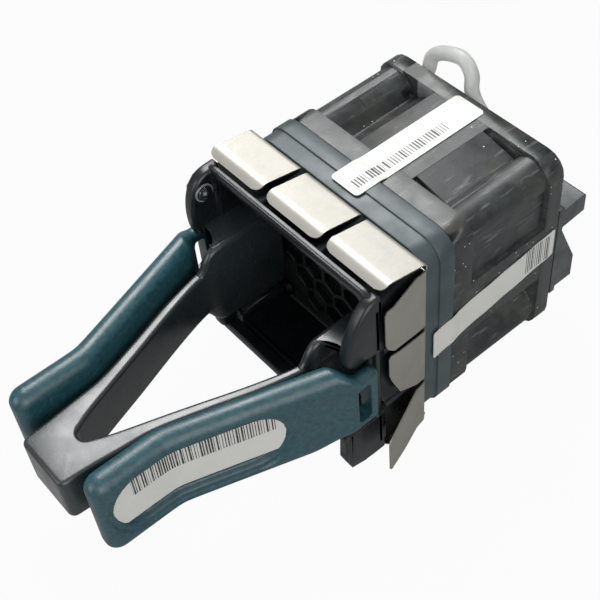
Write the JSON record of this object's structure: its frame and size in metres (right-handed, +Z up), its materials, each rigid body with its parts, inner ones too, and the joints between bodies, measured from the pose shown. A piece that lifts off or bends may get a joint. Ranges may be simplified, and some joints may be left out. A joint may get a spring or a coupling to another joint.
{
  "type": "switch fan tray",
  "caption": "Hot-swap switch fan tray: small axial fan behind a spring-finger gasket and a bezel, with a V handle and two press-in latch levers.",
  "frame": {"origin": "underside of the collar's rear band, in the middle of its width and of its length", "axes": "+Y to the rear, along the fan axis and away from the handle, +Z up, +X to the right as seen from the handle"},
  "size_m": [0.0494, 0.0973, 0.0463],
  "materials": {
    "bezel_plastic": "moulded, dark blue-black, satin",
    "lens_clear": "clear lens, polished",
    "handle_plastic": "moulded, dark grey, satin",
    "gasket_steel": "thin sheet, satin",
    "grille_plastic": "moulded, black, satin",
    "collar_plastic": "moulded, blue-grey, satin",
    "fan_plastic": "glass-filled, dark grey, matt",
    "rotor_plastic": "moulded, black, satin",
    "yoke_steel": "drawn steel",
    "magnet": "bonded magnet, matt",
    "shaft_steel": "ground steel",
    "bearing_bronze": "sintered bronze",
    "core_steel": "laminated steel",
    "coil_copper": "enamelled copper wire",
    "board": "solder mask",
    "screw_steel": "plated steel",
    "lever_plastic": "moulded, teal, satin with a fine grain",
    "label_paper": "white label, satin",
    "spring_steel": "spring strip, bright",
    "sleeve_clear": "translucent silicone sleeve",
    "bracket_plastic": "moulded, dark grey, satin",
    "connector_plastic": "moulded, black",
    "contact_gold": "gold-plated"
  },
  "bodies": {
    "tray": {"bezel": "bezel_plastic", "led_lens": "lens_clear", "v_handle": "handle_plastic", "emi_gasket": "gasket_steel", "grille": "grille_plastic", "collar": "collar_plastic", "fan_housing": "fan_plastic", "bearing_front": "bearing_bronze", "bearing_rear": "bearing_bronze", "stator_core": "core_steel", "coil_1": "coil_copper", "coil_2": "coil_copper", "coil_3": "coil_copper", "coil_4": "coil_copper", "circuit_board": "board", "fan_screw_1": "screw_steel", "fan_screw_2": "screw_steel", "fan_screw_3": "screw_steel", "fan_screw_4": "screw_steel", "lever_spring_left": "spring_steel", "lever_spring_right": "spring_steel", "top_label": "label_paper", "side_label": "label_paper", "lead_sleeve": "sleeve_clear", "connector_bracket": "bracket_plastic", "connector_body": "connector_plastic", "contact_1": "contact_gold", "contact_2": "contact_gold", "contact_3": "contact_gold", "contact_4": "contact_gold"},
    "rotor": {"impeller": "rotor_plastic", "rotor_yoke": "yoke_steel", "magnet_ring": "magnet", "shaft": "shaft_steel", "retaining_clip": "yoke_steel"},
    "left_latch": {"lever_left": "lever_plastic"},
    "right_latch": {"lever_right": "lever_plastic", "lever_label": "label_paper"}
  },
  "joints": [
    {"name": "impeller_spin", "type": "hinge", "parent": "tray", "child": "rotor", "pos_m": [0, 0.01155, 0.0203], "axis": [0, 1, 0], "continuous": true},
    {"name": "left_latch_press", "type": "hinge", "parent": "tray", "child": "left_latch", "pos_m": [-0.0098, -0.05825, 0.0203], "axis": [0, 0, -1], "range_deg": [0, 2.8], "stiffness_Nm_per_rad": 0.1, "springref_deg": -5.16, "deforming": ["lever_spring_left"]},
    {"name": "right_latch_press", "type": "hinge", "parent": "tray", "child": "right_latch", "pos_m": [0.0098, -0.05825, 0.0203], "axis": [0, 0, 1], "range_deg": [0, 2.8], "stiffness_Nm_per_rad": 0.1, "springref_deg": -5.16, "deforming": ["lever_spring_right"]}
  ]
}
